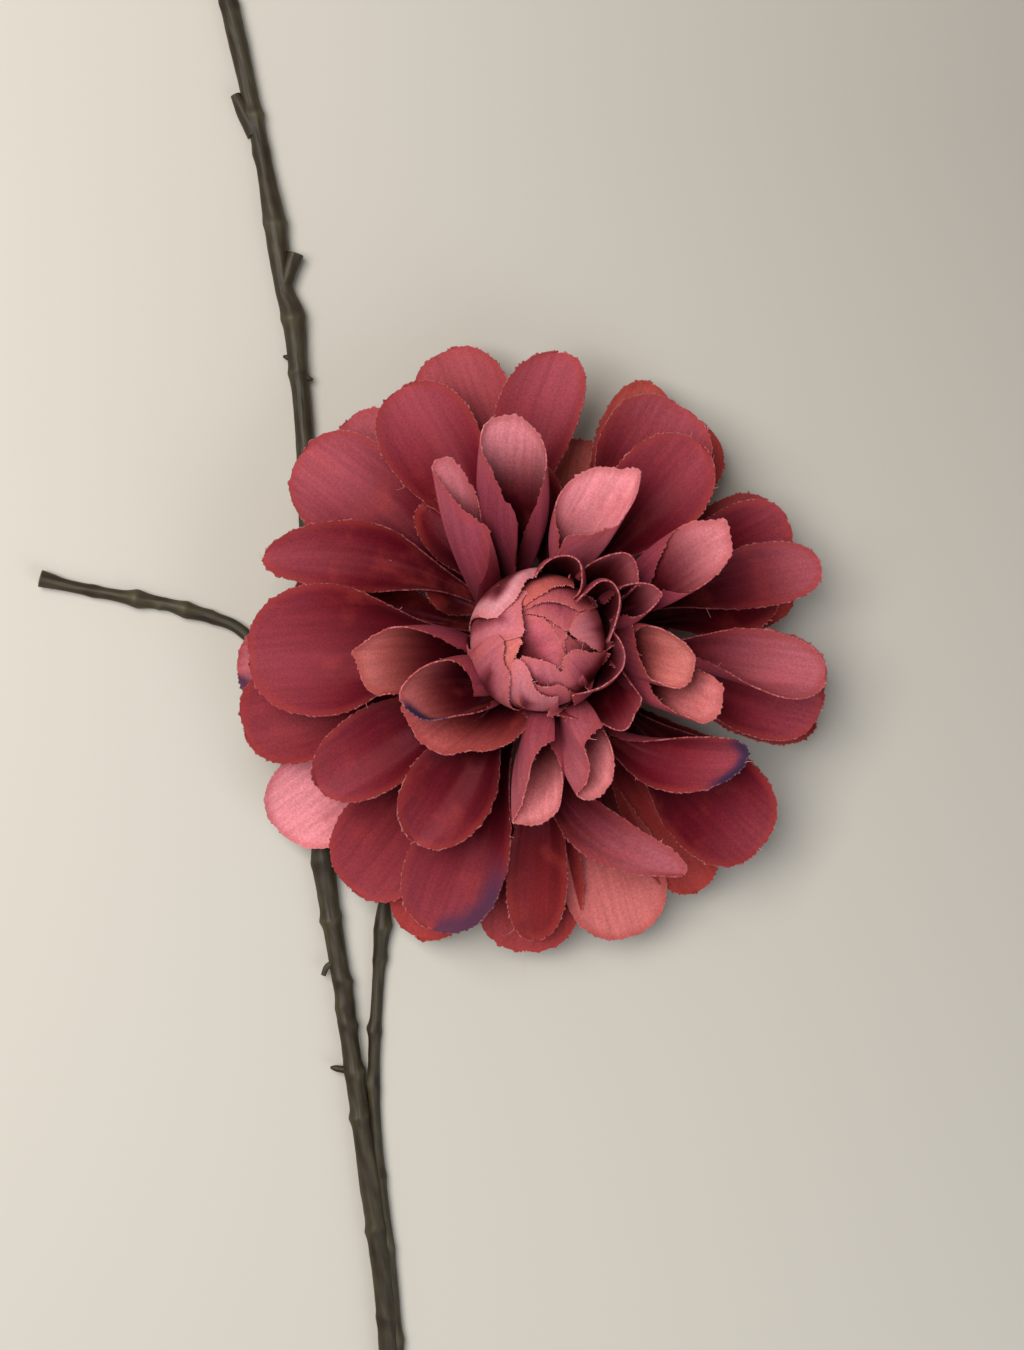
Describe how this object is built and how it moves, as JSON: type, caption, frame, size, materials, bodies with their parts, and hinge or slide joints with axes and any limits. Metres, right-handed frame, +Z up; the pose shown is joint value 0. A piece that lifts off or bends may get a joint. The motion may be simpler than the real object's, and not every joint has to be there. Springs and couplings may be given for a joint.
{
  "type": "artificial dahlia stem",
  "caption": "Artificial dahlia lying down: a double bloom of pressed crimson fabric petals round a closed rose bud, on a branched dark olive-brown moulded twig.",
  "frame": {"origin": "centre of the footprint, on the surface that the flower lies on", "axes": "+Z up out of the bloom's face, +Y along the twig from its cut end towards its upper end, +X to the bloom's side"},
  "size_m": [0.1974, 0.4412, 0.0558],
  "materials": {
    "petal_fabric": "matt, fine weave with frayed edges",
    "bud_fabric": "matt, fine weave",
    "stem_plastic": "moulded, satin, dark olive brown",
    "wire_steel": "cut wire end"
  },
  "bodies": {
    "root": {"bloom": "petal_fabric", "bud": "bud_fabric", "calyx": "stem_plastic", "stem": "stem_plastic", "wire_end": "wire_steel"}
  },
  "joints": []
}
